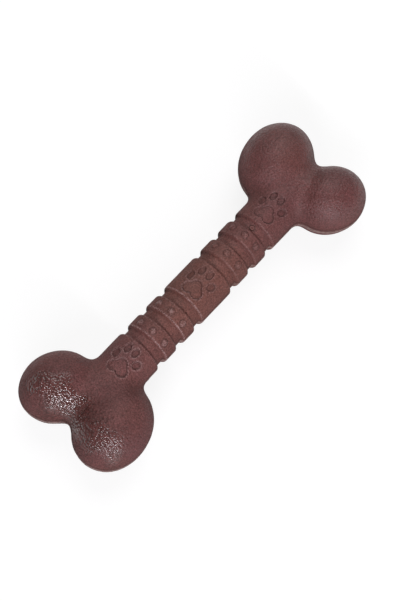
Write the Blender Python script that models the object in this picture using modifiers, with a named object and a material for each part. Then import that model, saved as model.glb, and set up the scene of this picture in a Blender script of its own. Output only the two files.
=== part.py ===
"""Bone shaped chew toy: two bonded rubber half shells with a plug squeaker inside.

The bone lies along X with its parting plane level. All lengths are in metres.
"""
import math

import bmesh
import bpy
import numpy as np
from mathutils import Matrix

MM = 0.001

# Length of the bone: from its middle to the middle of each big lobe
KNOB_PLACE = 74.2 * MM

# Shaft, and how far its plain stretch ends before a knob's middle and its nose passes it
SHAFT_RADIUS = 11.7 * MM
GROOVE_DEPTH = 1.55 * MM
GROOVE_FLAT_HALF = 2.1 * MM
GROOVE_HALF_WIDTH = 3.4 * MM
INNER_GROOVE = 12.7 * MM
MIDDLE_GROOVE = 25.2 * MM
OUTER_GROOVE = 37.7 * MM
NECK_LENGTH = 27.2 * MM
NOSE_LENGTH = 5.8 * MM

# Knobs: each end has a big lobe on one side and a small lobe on the other
BIG_LOBE_OUT = 14.75 * MM
BIG_HALF_LENGTH = 21.1 * MM
BIG_HALF_WIDTH = 17.4 * MM
BIG_HALF_HEIGHT = 17.0 * MM
BIG_TURN = math.radians(13.3)
SMALL_LOBE_AHEAD = 2.9 * MM
SMALL_LOBE_OUT = 15.7 * MM
SMALL_HALF_LENGTH = 18.1 * MM
SMALL_HALF_WIDTH = 15.8 * MM
SMALL_HALF_HEIGHT = 16.6 * MM
SMALL_TURN = math.radians(-21.1)
LOBE_BLEND = 7.7 * MM
NECK_BLEND = 5.9 * MM

# Walls
KNOB_WALL = 4.0 * MM
CORE_RADIUS = 7.0 * MM
FIT_GAP = 0.3 * MM

# Tongue of the upper rim, measured outward from the hollow
TONGUE_INSIDE = 1.0 * MM
TONGUE_WIDTH = 0.9 * MM
TONGUE_HEIGHT = 1.5 * MM
TONGUE_ROOT = 0.8 * MM

# Rest flats under the four lobes
FLAT_LEVEL = 16.2 * MM

# Nubs, in rings a little outward of the middle between two grooves
NUB_RADIUS = 1.8 * MM
NUB_HEIGHT = 0.6 * MM
NUB_ROOT = 0.5 * MM
NUB_OUTWARD = 0.45 * MM
NUB_ANGLES = (-38.0, 0.0, 38.0)
NUB_PROFILE = ((0.95, 0.35), (0.62, 0.83))

# Paw prints: the middle pad's place along the shaft and the step to the others
PAW_MIDDLE = -4.8 * MM
PAW_SPACING = 50.65 * MM
PAW_DEPTH = 0.7 * MM
PAD_TIP_RADIUS = 2.9 * MM
PAD_TIP_OFFSET = 2.3 * MM
PAD_SIDE_RADIUS = 2.75 * MM
PAD_SIDE_BACK = -0.15 * MM
PAD_SIDE_OUT = 2.35 * MM
TOE_LENGTH = 4.4 * MM
TOE_WIDTH = 3.0 * MM
TOE_PLACES = (
    (5.4 * MM, 5.6 * MM, 8.0),
    (10.1 * MM, 2.9 * MM, 2.0),
    (10.4 * MM, -1.4 * MM, -4.0),
    (6.8 * MM, -5.4 * MM, -20.0),
)

# Squeaker, its vent set inward from the middle of the outer groove
VENT_INWARD = 0.4 * MM
NOZZLE_RADIUS = 1.1 * MM
VENT_RADIUS = 0.3 * MM
NOZZLE_PROUD = 0.15 * MM
BARREL_RADIUS = 4.0 * MM
BARREL_WALL = 0.9 * MM
BARREL_ROOF = 1.0 * MM
SOCKET_WALL = 1.2 * MM
SOCKET_BOTTOM = 1.0 * MM
SEAT_FACE = 0.5 * MM
CHANNEL_WIDTH = 1.4 * MM
CHANNEL_DEPTH = 0.9 * MM
REED_WIDTH = 2.4 * MM
REED_THICKNESS = 0.3 * MM
REED_LENGTH = 5.6 * MM
CAP_THICKNESS = 1.0 * MM
CAP_PLUG_HEIGHT = 1.1 * MM
CAP_HOLE_RADIUS = 1.0 * MM

# Mesh density
SHELL_SEGMENTS = 40
CORE_SEGMENTS = 24
ROUND_SEGMENTS = 24
NUB_SEGMENTS = 12
PAD_POINTS = 20
TOE_POINTS = 12
POINT_PHASE = 0.4
RAY_STEPS = 40
MERGE_DISTANCE = 0.01 * MM
REAR_ORIGIN_BACK = 1.7 * MM
FRONT_ORIGIN_BACK = 9.2 * MM
REAR_ANGLE = 110.0
FRONT_ANGLE = 45.0
SHELL_ANGLES = (147, 137, 127, 117, 107, 97, 87, 77, 67, 57, 47, 37, 26, 14)
CORE_ANGLES = (145, 130, 115, 100, 85, 70, 54, 36, 18)
SHOULDER_STEPS = (0.0, 0.65, 0.92, 1.0)

# Worked out from the sizes above
LIFT = FLAT_LEVEL
SHAFT_END = KNOB_PLACE - NECK_LENGTH
SHAFT_NOSE = KNOB_PLACE + NOSE_LENGTH
BIG_CENTRE = (KNOB_PLACE, BIG_LOBE_OUT)
BIG_RADII = (BIG_HALF_LENGTH, BIG_HALF_WIDTH, BIG_HALF_HEIGHT)
SMALL_CENTRE = (KNOB_PLACE + SMALL_LOBE_AHEAD, -SMALL_LOBE_OUT)
SMALL_RADII = (SMALL_HALF_LENGTH, SMALL_HALF_WIDTH, SMALL_HALF_HEIGHT)
GROOVE_POSITIONS = (INNER_GROOVE, MIDDLE_GROOVE, OUTER_GROOVE)
INNER_NUBS = (INNER_GROOVE + MIDDLE_GROOVE) / 2.0 + NUB_OUTWARD
OUTER_NUBS = (MIDDLE_GROOVE + OUTER_GROOVE) / 2.0 + NUB_OUTWARD
NUB_RINGS = (-OUTER_NUBS, -INNER_NUBS, INNER_NUBS, OUTER_NUBS)
PAW_POSITIONS = (PAW_MIDDLE - PAW_SPACING, PAW_MIDDLE, PAW_MIDDLE + PAW_SPACING)
VENT_X = OUTER_GROOVE - VENT_INWARD
KNOB_REAR_ORIGIN = KNOB_PLACE - REAR_ORIGIN_BACK
KNOB_FRONT_ORIGIN = KNOB_PLACE - FRONT_ORIGIN_BACK
RAY_LENGTH = 2.0 * (BIG_LOBE_OUT + BIG_HALF_LENGTH)
SPACE_REACH = SHAFT_NOSE + 2.0 * BIG_HALF_LENGTH


def clear_scene():
    for item in list(bpy.data.objects):
        bpy.data.objects.remove(item, do_unlink=True)


def make_collection(name):
    collection = bpy.data.collections.new(name)
    bpy.context.scene.collection.children.link(collection)
    return collection


def make_material(name, colour, roughness, metallic=0.0):
    material = bpy.data.materials.new(name)
    material.use_nodes = True
    shader = material.node_tree.nodes["Principled BSDF"]
    shader.inputs["Base Color"].default_value = (*colour, 1.0)
    shader.inputs["Roughness"].default_value = roughness
    shader.inputs["Metallic"].default_value = metallic
    material.diffuse_color = (*colour, 1.0)
    return material


def add_object(name, mesh, collection, x=0.0):
    item = bpy.data.objects.new(name, mesh)
    item.location = (x, 0.0, LIFT)
    collection.objects.link(item)
    return item


def add_mesh(name, vertices, faces, collection, x=0.0):
    mesh = bpy.data.meshes.new(name)
    mesh.from_pydata([tuple(v) for v in vertices], [], faces)
    tidy = bmesh.new()
    tidy.from_mesh(mesh)
    bmesh.ops.recalc_face_normals(tidy, faces=tidy.faces)
    tidy.to_mesh(mesh)
    tidy.free()
    return add_object(name, mesh, collection, x)


def hide_as_cutter(item):
    item.hide_render = True
    item.display_type = "WIRE"


def combine(target, tool, operation):
    modifier = target.modifiers.new(operation.lower() + "_" + tool.name, "BOOLEAN")
    modifier.operation = operation
    modifier.solver = "EXACT"
    modifier.object = tool


# Shape of the bone as a signed distance: negative inside
def smooth_min(a, b, blend):
    overlap = np.maximum(blend - np.abs(a - b), 0.0) / blend
    return np.minimum(a, b) - overlap * overlap * blend * 0.25


def ellipsoid_distance(points, centre, radii, turn):
    x = points[..., 0] - centre[0]
    y = points[..., 1] - centre[1]
    along = x * math.cos(turn) + y * math.sin(turn)
    across = y * math.cos(turn) - x * math.sin(turn)
    local = np.stack([along, across, points[..., 2]], axis=-1)
    radii = np.asarray(radii)
    near = np.sqrt(((local / radii) ** 2).sum(axis=-1))
    slope = np.sqrt(((local / radii ** 2) ** 2).sum(axis=-1))
    return near * (near - 1.0) / np.maximum(slope, 1e-9)


def knob_distance(points, inset):
    """Both knobs; the second is the first turned half a turn about Z."""
    result = None
    for side in (1.0, -1.0):
        turned = points * np.array([side, side, 1.0])
        big = ellipsoid_distance(turned, BIG_CENTRE, np.array(BIG_RADII) - inset, BIG_TURN)
        small = ellipsoid_distance(turned, SMALL_CENTRE, np.array(SMALL_RADII) - inset, SMALL_TURN)
        knob = smooth_min(big, small, LOBE_BLEND)
        result = knob if result is None else np.minimum(result, knob)
    return result


def groove_cut(x):
    """Depth of the grooves at a place along the shaft."""
    cut = np.zeros_like(x)
    for place in GROOVE_POSITIONS:
        away = np.abs(np.abs(x) - place)
        rise = (GROOVE_HALF_WIDTH - away) / (GROOVE_HALF_WIDTH - GROOVE_FLAT_HALF)
        rise = np.clip(rise, 0.0, 1.0)
        cut = cut + GROOVE_DEPTH * (1.0 - np.sqrt(1.0 - rise * rise))
    return cut


def bone_distance(points, shaft_radius, inset, grooved):
    x = points[..., 0]
    radius = np.full_like(x, shaft_radius)
    if grooved:
        radius = radius - groove_cut(x)
    from_axis = np.hypot(points[..., 1], points[..., 2])
    nose = np.maximum(np.abs(x) - (SHAFT_NOSE - shaft_radius), 0.0)
    shaft = np.hypot(from_axis, nose) - radius
    return smooth_min(shaft, knob_distance(points, inset), NECK_BLEND)


def outer_skin(points):
    return bone_distance(points, SHAFT_RADIUS, 0.0, True)


def plain_skin(depth):
    """The outer skin without grooves, set in by a depth."""
    return lambda points: bone_distance(points, SHAFT_RADIUS - depth, depth, False)


def core_skin(outward):
    """The hollow, grown outward by a distance."""
    return lambda points: bone_distance(points, CORE_RADIUS + outward, KNOB_WALL - outward, False)


def knob_origin(angle):
    share = (angle - FRONT_ANGLE) / (REAR_ANGLE - FRONT_ANGLE)
    share = min(max(share, 0.0), 1.0)
    return KNOB_FRONT_ORIGIN + (KNOB_REAR_ORIGIN - KNOB_FRONT_ORIGIN) * share


def stations(shaft_places, knob_angles):
    """Ray origins on the axis and ray angles from +X, from the +X end to the -X end."""
    front = [(knob_origin(angle), math.radians(angle)) for angle in reversed(knob_angles)]
    middle = [(place, math.pi / 2.0) for place in sorted(shaft_places, reverse=True)]
    back = [(-origin, math.pi - angle) for origin, angle in reversed(front)]
    return front + middle + back


def cast(skin, origins, directions):
    """First crossing of each ray with the skin, by halving."""
    low = np.zeros(len(origins))
    high = np.full(len(origins), RAY_LENGTH)
    for _ in range(RAY_STEPS):
        middle = (low + high) / 2.0
        inside = skin(origins + directions * middle[:, None]) < 0.0
        low = np.where(inside, middle, low)
        high = np.where(inside, high, middle)
    return origins + directions * low[:, None]


def ring_points(skin, station, turns):
    origin, angle = station
    directions = np.stack([
        np.full_like(turns, math.cos(angle)),
        math.sin(angle) * np.cos(turns),
        math.sin(angle) * np.sin(turns),
    ], axis=-1)
    origins = np.tile([origin, 0.0, 0.0], (len(turns), 1))
    return cast(skin, origins, directions)


def pole_point(skin, side):
    origin = np.array([[side * KNOB_FRONT_ORIGIN, 0.0, 0.0]])
    direction = np.array([[side, 0.0, 0.0]])
    return cast(skin, origin, direction)[0]


def loft(name, skin, places, angles, segments, collection):
    """Closed skin of rings round the long axis, with a pole at each end."""
    turns = np.arange(segments) * 2.0 * math.pi / segments
    vertices = [pole_point(skin, 1.0)]
    rings = stations(places, angles)
    for station in rings:
        vertices.extend(ring_points(skin, station, turns))
    vertices.append(pole_point(skin, -1.0))
    last = len(vertices) - 1
    faces = []
    for k in range(segments):
        step = (k + 1) % segments
        faces.append((0, 1 + k, 1 + step))
        for ring in range(len(rings) - 1):
            a = 1 + ring * segments
            b = a + segments
            faces.append((a + k, b + k, b + step, a + step))
        end = 1 + (len(rings) - 1) * segments
        faces.append((last, end + step, end + k))
    return add_mesh(name, vertices, faces, collection)


def plan_loop(skin, places, angles):
    """Outline of a skin in the parting plane, as one closed loop."""
    rings = stations(places, angles)
    right = [ring_points(skin, station, np.array([0.0]))[0] for station in rings]
    left = [ring_points(skin, station, np.array([math.pi]))[0] for station in reversed(rings)]
    return [pole_point(skin, 1.0)] + right + [pole_point(skin, -1.0)] + left


def rim_band(name, inside, outside, bottom, top, collection):
    """A closed band that follows the hollow round the parting plane."""
    loops = []
    for outward in (inside, outside):
        for height in (bottom, top):
            loop = plan_loop(core_skin(outward), CORE_PLACES, CORE_ANGLES)
            loops.append([(p[0], p[1], height) for p in loop])
    count = len(loops[0])
    vertices = [v for loop in loops for v in loop]
    faces = []
    order = (0, 1, 3, 2)
    for k in range(count):
        step = (k + 1) % count
        for a, b in zip(order, order[1:] + order[:1]):
            faces.append((a * count + k, a * count + step, b * count + step, b * count + k))
    return add_mesh(name, vertices, faces, collection)


def block(name, low, high, collection):
    corners = [(x, y, z) for x in (low[0], high[0]) for y in (low[1], high[1]) for z in (low[2], high[2])]
    faces = [(0, 1, 3, 2), (4, 6, 7, 5), (0, 4, 5, 1), (2, 3, 7, 6), (0, 2, 6, 4), (1, 5, 7, 3)]
    return add_mesh(name, corners, faces, collection)


def turned(name, profile, collection):
    """A ring of revolution round the squeaker axis from a closed profile."""
    mesh = bpy.data.meshes.new(name)
    edges = [(k, (k + 1) % len(profile)) for k in range(len(profile))]
    mesh.from_pydata([(radius, 0.0, height) for radius, height in profile], edges, [])
    item = add_object(name, mesh, collection, VENT_X)
    screw = item.modifiers.new("turn", "SCREW")
    screw.axis = "Z"
    screw.angle = math.tau
    screw.steps = ROUND_SEGMENTS
    screw.render_steps = ROUND_SEGMENTS
    screw.use_merge_vertices = True
    screw.merge_threshold = MERGE_DISTANCE
    screw.use_normal_calculate = False
    return item


def post(name, radius, bottom, top, collection):
    """A plain upright cylinder on the squeaker axis."""
    shape = bmesh.new()
    bmesh.ops.create_cone(
        shape, cap_ends=True, cap_tris=False, segments=ROUND_SEGMENTS,
        radius1=radius, radius2=radius, depth=top - bottom)
    bmesh.ops.translate(shape, vec=(0.0, 0.0, (top + bottom) / 2.0), verts=shape.verts)
    phase = Matrix.Rotation(POINT_PHASE * math.tau / ROUND_SEGMENTS, 3, "Z")
    bmesh.ops.rotate(shape, cent=(0.0, 0.0, 0.0), matrix=phase, verts=shape.verts)
    mesh = bpy.data.meshes.new(name)
    shape.to_mesh(mesh)
    shape.free()
    return add_object(name, mesh, collection, VENT_X)


def nub_domes(name, side, collection):
    """All the nubs of one half as low domes with a root in the wall."""
    vertices = []
    faces = []
    levels = [(NUB_RADIUS, -NUB_ROOT)]
    levels += [(NUB_RADIUS * width, NUB_HEIGHT * height) for width, height in NUB_PROFILE]
    for ring_x in NUB_RINGS:
        for degrees in NUB_ANGLES:
            angle = math.radians(degrees)
            outward = side * np.array([0.0, math.sin(angle), math.cos(angle)])
            around = side * np.array([0.0, math.cos(angle), -math.sin(angle)])
            centre = np.array([ring_x, 0.0, 0.0]) + outward * SHAFT_RADIUS
            start = len(vertices)
            for radius, height in levels:
                for k in range(NUB_SEGMENTS):
                    turn = math.tau * (k + POINT_PHASE) / NUB_SEGMENTS
                    reach = math.sin(turn) * radius
                    drop = SHAFT_RADIUS - math.sqrt(SHAFT_RADIUS ** 2 - reach ** 2)
                    point = centre + around * reach + outward * (height - drop)
                    vertices.append(point + np.array([math.cos(turn) * radius, 0.0, 0.0]))
            vertices.append(centre + outward * NUB_HEIGHT)
            top = len(vertices) - 1
            faces.append(tuple(start + k for k in range(NUB_SEGMENTS)))
            for ring in range(len(levels) - 1):
                a = start + ring * NUB_SEGMENTS
                b = a + NUB_SEGMENTS
                for k in range(NUB_SEGMENTS):
                    step = (k + 1) % NUB_SEGMENTS
                    faces.append((a + k, a + step, b + step, b + k))
            for k in range(NUB_SEGMENTS):
                faces.append((b + k, b + (k + 1) % NUB_SEGMENTS, top))
    return add_mesh(name, vertices, faces, collection)


def pad_outline():
    """Three rounded lobes: one pointing to the toes and two behind it."""
    circles = (
        (PAD_TIP_OFFSET, 0.0, PAD_TIP_RADIUS),
        (PAD_SIDE_BACK, PAD_SIDE_OUT, PAD_SIDE_RADIUS),
        (PAD_SIDE_BACK, -PAD_SIDE_OUT, PAD_SIDE_RADIUS),
    )
    outline = []
    for k in range(PAD_POINTS):
        angle = math.tau * (k + POINT_PHASE) / PAD_POINTS
        reach = 0.0
        for x, y, radius in circles:
            along = x * math.cos(angle) + y * math.sin(angle)
            square = radius ** 2 - (x * x + y * y - along * along)
            if square > 0.0:
                reach = max(reach, along + math.sqrt(square))
        outline.append((reach * math.cos(angle), reach * math.sin(angle)))
    return outline


def toe_outline(place, side, tilt):
    """An oval toe, placed by its distance ahead of the pad and to the side."""
    lean = math.radians(tilt)
    outline = []
    for k in range(TOE_POINTS):
        angle = math.tau * (k + POINT_PHASE) / TOE_POINTS
        x = math.cos(angle) * TOE_LENGTH / 2.0
        y = math.sin(angle) * TOE_WIDTH / 2.0
        outline.append((
            place + x * math.cos(lean) - y * math.sin(lean),
            side + x * math.sin(lean) + y * math.cos(lean),
        ))
    return outline


def paw_cutters(name, side, collection):
    """Upright prisms over the pads and toes of one half, in the direction the mould opens."""
    vertices = []
    faces = []
    for position in PAW_POSITIONS:
        outlines = [pad_outline()] + [toe_outline(*toe) for toe in TOE_PLACES]
        for outline in outlines:
            start = len(vertices)
            count = len(outline)
            for height in (SHAFT_RADIUS / 2.0, SHAFT_RADIUS + KNOB_WALL):
                vertices += [(position + x, side * y, side * height) for x, y in outline]
            faces.append(tuple(range(start, start + count)))
            faces.append(tuple(range(start + count, start + 2 * count)))
            for k in range(count):
                step = (k + 1) % count
                faces.append((start + k, start + step, start + count + step, start + count + k))
    return add_mesh(name, vertices, faces, collection)


clear_scene()
toy = make_collection("bone_dog_toy")
tools = make_collection("cutters")

rubber = make_material("moulded_rubber", (0.150, 0.067, 0.057), 0.62)
plastic = make_material("squeaker_plastic", (0.100, 0.048, 0.042), 0.45)
seat_plastic = make_material("reed_seat_plastic", (0.62, 0.66, 0.70), 0.42)
reed_film = make_material("reed_film", (0.86, 0.78, 0.55), 0.30)
cap_plastic = make_material("end_cap_plastic", (0.74, 0.73, 0.68), 0.45)

SHELL_PLACES = [0.0, -INNER_GROOVE / 2.0, INNER_GROOVE / 2.0, -SHAFT_END, SHAFT_END]
for groove in GROOVE_POSITIONS:
    for step in SHOULDER_STEPS:
        away = GROOVE_HALF_WIDTH - step * (GROOVE_HALF_WIDTH - GROOVE_FLAT_HALF)
        for end in (1.0, -1.0):
            SHELL_PLACES += [end * (groove - away), end * (groove + away)]
CORE_PLACES = [0.0, -SHAFT_END / 2.0, SHAFT_END / 2.0, -SHAFT_END, SHAFT_END]

core = loft("hollow_core", core_skin(0.0), CORE_PLACES, CORE_ANGLES, CORE_SEGMENTS, tools)
mark_floor = loft("paw_floor", plain_skin(PAW_DEPTH), (-SHAFT_END, 0.0, SHAFT_END), SHELL_ANGLES,
                  SHELL_SEGMENTS, tools)

HALF_GAP = FIT_GAP / 2.0
above = block("upper_space", (-SPACE_REACH, -SPACE_REACH, HALF_GAP),
              (SPACE_REACH, SPACE_REACH, SPACE_REACH), tools)
below = block("lower_space", (-SPACE_REACH, -SPACE_REACH, -FLAT_LEVEL),
              (SPACE_REACH, SPACE_REACH, -HALF_GAP), tools)

tongue_outside = TONGUE_INSIDE + TONGUE_WIDTH
tongue = rim_band("rim_tongue", TONGUE_INSIDE, tongue_outside, HALF_GAP - TONGUE_HEIGHT,
                  HALF_GAP + TONGUE_ROOT, tools)
slot = rim_band("rim_slot", TONGUE_INSIDE - FIT_GAP, tongue_outside + FIT_GAP,
                HALF_GAP - TONGUE_HEIGHT - FIT_GAP, TONGUE_ROOT, tools)

# Socket of the squeaker under the vent; the squeaker stands between the walls of the hollow
socket_bore = BARREL_RADIUS + FIT_GAP
socket_top = math.sqrt(CORE_RADIUS ** 2 - socket_bore ** 2)
barrel_top = socket_top - FIT_GAP
barrel_bore = BARREL_RADIUS - BARREL_WALL
cap_bottom = FIT_GAP - math.sqrt(CORE_RADIUS ** 2 - BARREL_RADIUS ** 2)
cap_top = cap_bottom + CAP_THICKNESS
barrel_bottom = cap_top + FIT_GAP
socket_body = post("socket_body", socket_bore + SOCKET_WALL, SOCKET_BOTTOM,
                   CORE_RADIUS + TONGUE_ROOT, tools)
socket_space = post("socket_space", socket_bore, SOCKET_BOTTOM - CORE_RADIUS, socket_top, tools)
vent_hole = post("vent_hole", NOZZLE_RADIUS + FIT_GAP, barrel_top, SHAFT_RADIUS + KNOB_WALL, tools)

halves = []
for half_name, space, side in (("upper_shell", above, 1.0), ("lower_shell", below, -1.0)):
    shell = loft(half_name, outer_skin, SHELL_PLACES, SHELL_ANGLES, SHELL_SEGMENTS, toy)
    shell.data.materials.append(rubber)
    prints = paw_cutters(half_name + "_paws", side, tools)
    combine(prints, mark_floor, "DIFFERENCE")
    nubs = nub_domes(half_name + "_nubs", side, tools)
    combine(shell, core, "DIFFERENCE")
    combine(shell, space, "INTERSECT")
    combine(shell, nubs, "UNION")
    combine(shell, prints, "DIFFERENCE")
    hide_as_cutter(prints)
    hide_as_cutter(nubs)
    halves.append(shell)

upper, lower = halves
combine(upper, tongue, "UNION")
combine(upper, socket_body, "UNION")
combine(upper, socket_space, "DIFFERENCE")
combine(upper, vent_hole, "DIFFERENCE")
combine(lower, slot, "DIFFERENCE")
for tool in (core, mark_floor, above, below, tongue, slot, socket_body, socket_space, vent_hole):
    hide_as_cutter(tool)

# Squeaker barrel with its nozzle through the wall
nozzle_top = SHAFT_RADIUS - GROOVE_DEPTH + NOZZLE_PROUD
barrel = turned("squeaker_barrel", (
    (VENT_RADIUS, nozzle_top),
    (NOZZLE_RADIUS, nozzle_top),
    (NOZZLE_RADIUS, barrel_top),
    (BARREL_RADIUS, barrel_top),
    (BARREL_RADIUS, barrel_bottom),
    (barrel_bore, barrel_bottom),
    (barrel_bore, barrel_top - BARREL_ROOF),
    (VENT_RADIUS, barrel_top - BARREL_ROOF),
), toy)
barrel.data.materials.append(plastic)

# Reed seat: a half round core with an air channel down its flat face
seat_radius = barrel_bore - FIT_GAP
seat_top = barrel_top - BARREL_ROOF - FIT_GAP
plug_top = cap_top + CAP_PLUG_HEIGHT
seat_bottom = plug_top + FIT_GAP
seat = post("squeaker_reed_seat", seat_radius, seat_bottom, seat_top, toy)
seat.data.materials.append(seat_plastic)
seat_cut = block("seat_face_cut", (VENT_X - BARREL_RADIUS, SEAT_FACE, seat_bottom - FIT_GAP),
                 (VENT_X + BARREL_RADIUS, BARREL_RADIUS, seat_top + FIT_GAP), tools)
channel_half = CHANNEL_WIDTH / 2.0
channel = block("seat_channel_cut",
                (VENT_X - channel_half, SEAT_FACE - CHANNEL_DEPTH, seat_bottom - FIT_GAP),
                (VENT_X + channel_half, BARREL_RADIUS, seat_top + FIT_GAP), tools)
for tool in (seat_cut, channel):
    combine(seat, tool, "DIFFERENCE")
    hide_as_cutter(tool)

# Reed against the flat face
reed_face = SEAT_FACE + FIT_GAP
reed_top = (seat_top + seat_bottom + REED_LENGTH) / 2.0
reed = block("squeaker_reed", (VENT_X - REED_WIDTH / 2.0, reed_face, reed_top - REED_LENGTH),
             (VENT_X + REED_WIDTH / 2.0, reed_face + REED_THICKNESS, reed_top), toy)
reed.data.materials.append(reed_film)

# End cap plugged into the barrel mouth
cap = turned("squeaker_end_cap", (
    (CAP_HOLE_RADIUS, plug_top),
    (seat_radius, plug_top),
    (seat_radius, cap_top),
    (BARREL_RADIUS, cap_top),
    (BARREL_RADIUS, cap_bottom),
    (CAP_HOLE_RADIUS, cap_bottom),
), toy)
cap.data.materials.append(cap_plastic)
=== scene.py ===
import itertools
import math

import bmesh
import bpy
import numpy as np
from mathutils import Matrix, Vector


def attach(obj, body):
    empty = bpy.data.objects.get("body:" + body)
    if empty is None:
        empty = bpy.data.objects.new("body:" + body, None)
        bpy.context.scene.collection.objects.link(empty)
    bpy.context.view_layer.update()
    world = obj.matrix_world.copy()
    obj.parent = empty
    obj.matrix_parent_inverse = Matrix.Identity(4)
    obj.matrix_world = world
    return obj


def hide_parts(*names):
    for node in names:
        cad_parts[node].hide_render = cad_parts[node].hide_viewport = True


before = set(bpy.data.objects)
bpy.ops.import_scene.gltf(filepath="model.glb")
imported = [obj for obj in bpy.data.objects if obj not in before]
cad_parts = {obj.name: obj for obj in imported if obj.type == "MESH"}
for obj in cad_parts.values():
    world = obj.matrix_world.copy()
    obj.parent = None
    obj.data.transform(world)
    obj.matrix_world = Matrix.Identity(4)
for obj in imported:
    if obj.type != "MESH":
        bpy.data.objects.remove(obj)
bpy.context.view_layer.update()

MM = 0.001

# Length and shaft, as in the solids
KNOB_PLACE = 74.2 * MM
SHAFT_RADIUS = 11.7 * MM
GROOVE_DEPTH = 1.55 * MM
GROOVE_FLAT_HALF = 2.1 * MM
GROOVE_HALF_WIDTH = 3.4 * MM
INNER_GROOVE = 12.7 * MM
MIDDLE_GROOVE = 25.2 * MM
OUTER_GROOVE = 37.7 * MM
GROOVE_POSITIONS = (INNER_GROOVE, MIDDLE_GROOVE, OUTER_GROOVE)
SHAFT_END = KNOB_PLACE - 27.2 * MM
SHAFT_NOSE = KNOB_PLACE + 5.8 * MM

# Knobs, as in the solids
BIG_CENTRE = (KNOB_PLACE, 14.75 * MM)
BIG_RADII = (21.1 * MM, 17.4 * MM, 17.0 * MM)
BIG_TURN = math.radians(13.3)
SMALL_CENTRE = (KNOB_PLACE + 2.9 * MM, -15.7 * MM)
SMALL_RADII = (18.1 * MM, 15.8 * MM, 16.6 * MM)
SMALL_TURN = math.radians(-21.1)
LOBE_BLEND = 7.7 * MM
NECK_BLEND = 5.9 * MM
FLAT_LEVEL = 16.2 * MM
FLAT_SOFTNESS = 0.4 * MM

# Walls and the joint in the rim, as in the solids
KNOB_WALL = 4.0 * MM
CORE_RADIUS = 7.0 * MM
FIT_GAP = 0.3 * MM
SEAM_HALF_GAP = FIT_GAP / 2.0
TONGUE_INSIDE = 1.0 * MM
TONGUE_WIDTH = 0.9 * MM
TONGUE_HEIGHT = 1.5 * MM

# Nubs
NUB_RADIUS = 1.8 * MM
NUB_HEIGHT = 0.6 * MM
NUB_CROWN = 0.8
NUB_MOAT = 0.07 * MM
NUB_MOAT_WIDTH = 0.3 * MM
# Painted shade round each nub
NUB_SHADE = 1.0
# Top of each nub worn and painted lighter as a highlight
NUB_WEAR_HIGHLIGHT = 0.7
NUB_WEAR_HIGHLIGHT_EDGE = 0.6
NUB_OUTWARD = 0.45 * MM
INNER_NUBS = (INNER_GROOVE + MIDDLE_GROOVE) / 2.0 + NUB_OUTWARD
OUTER_NUBS = (MIDDLE_GROOVE + OUTER_GROOVE) / 2.0 + NUB_OUTWARD
NUB_RINGS = (-OUTER_NUBS, -INNER_NUBS, INNER_NUBS, OUTER_NUBS)
NUB_ANGLES = (-38.0, 0.0, 38.0)

# Paw prints
PAW_MIDDLE = -4.8 * MM
PAW_SPACING = 50.65 * MM
PAW_POSITIONS = (PAW_MIDDLE - PAW_SPACING, PAW_MIDDLE, PAW_MIDDLE + PAW_SPACING)
PAW_DEPTH = 0.7 * MM
PAW_EDGE = 0.34 * MM
PAW_LIP = 0.10 * MM
# Lip of each print worn and painted lighter as a highlight
PAW_LIP_WEAR_HIGHLIGHT = 0.6
# Painted shade inside the toe pockets
TOE_SHADE = 0.3
TOE_SHADE_EDGE = 0.9 * MM
PAD_CIRCLES = (
    (2.3 * MM, 0.0, 2.9 * MM),
    (-0.15 * MM, 2.35 * MM, 2.75 * MM),
    (-0.15 * MM, -2.35 * MM, 2.75 * MM),
)
PAD_BLEND = 0.8 * MM
TOE_LENGTH = 4.4 * MM
TOE_WIDTH = 3.0 * MM
TOE_PLACES = (
    (5.4 * MM, 5.6 * MM, 8.0),
    (10.1 * MM, 2.9 * MM, 2.0),
    (10.4 * MM, -1.4 * MM, -4.0),
    (6.8 * MM, -5.4 * MM, -20.0),
)

# Vent of the squeaker
VENT_X = OUTER_GROOVE - 0.4 * MM
VENT_HOLE_RADIUS = 1.15 * MM
VENT_HOLE_TOP = 14.0 * MM
VENT_HOLE_BOTTOM = 5.7 * MM
VENT_RING_RADIUS = 1.45 * MM
VENT_RING_BOTTOM = SHAFT_RADIUS - GROOVE_DEPTH - 0.4 * MM
VENT_RIM_RADIUS = 1.75 * MM
VENT_RIM_WIDTH = 0.28 * MM
VENT_RIM_HEIGHT = 0.08 * MM
DRILL_SIDES = 48

# Trimmed parting line, with its unevenness as shares of waves
SEAM_RIDGE = 0.16 * MM
SEAM_RIDGE_WIDTH = 0.35 * MM
SEAM_EVEN = 0.6
SEAM_WAVES = (
    (0.25, (900.0, 500.0, 0.0, 0.0)),
    (0.15, (2300.0, -1700.0, 0.0, 1.0)),
)
SEAM_ROUND = 0.12 * MM
SEAM_ROUND_WIDTH = 0.18 * MM
# A band along the parting line, ground smooth and painted lighter as bounce light from the floor, and a
# painted shade line above the parting line
TRIM_BOUNCE_LOW = -2.6 * MM
TRIM_BOUNCE_HIGH = 0.9 * MM
TRIM_BOUNCE_SOFTNESS = 0.7 * MM
SEAM_SHADE_LEVEL = 1.7 * MM
SEAM_SHADE_WIDTH = 0.7 * MM
FLASH_PLACE = (-47.5 * MM, -11.8 * MM)
FLASH_WIDTH = 2.6 * MM
FLASH_HEIGHT = 0.35 * MM
FLASH_RAGGED = 0.4
FLASH_WAVES = ((5200.0, 0.0, 0.0, 0.0), (3100.0, 0.0, 0.0, 0.8))

# Slow unevenness of the rubber, as waves
LUMP_HEIGHT = 0.06 * MM
LUMP_WAVES = (
    (310.0, 170.0, 0.0, 1.3),
    (90.0, 410.0, -230.0, 0.0),
    (240.0, -60.0, 520.0, 0.7),
)
LUMP_RIPPLE = 0.6
LUMP_RIPPLES = ((830.0, 0.0, -640.0, 2.1), (310.0, 770.0, 0.0, 0.0))

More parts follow.
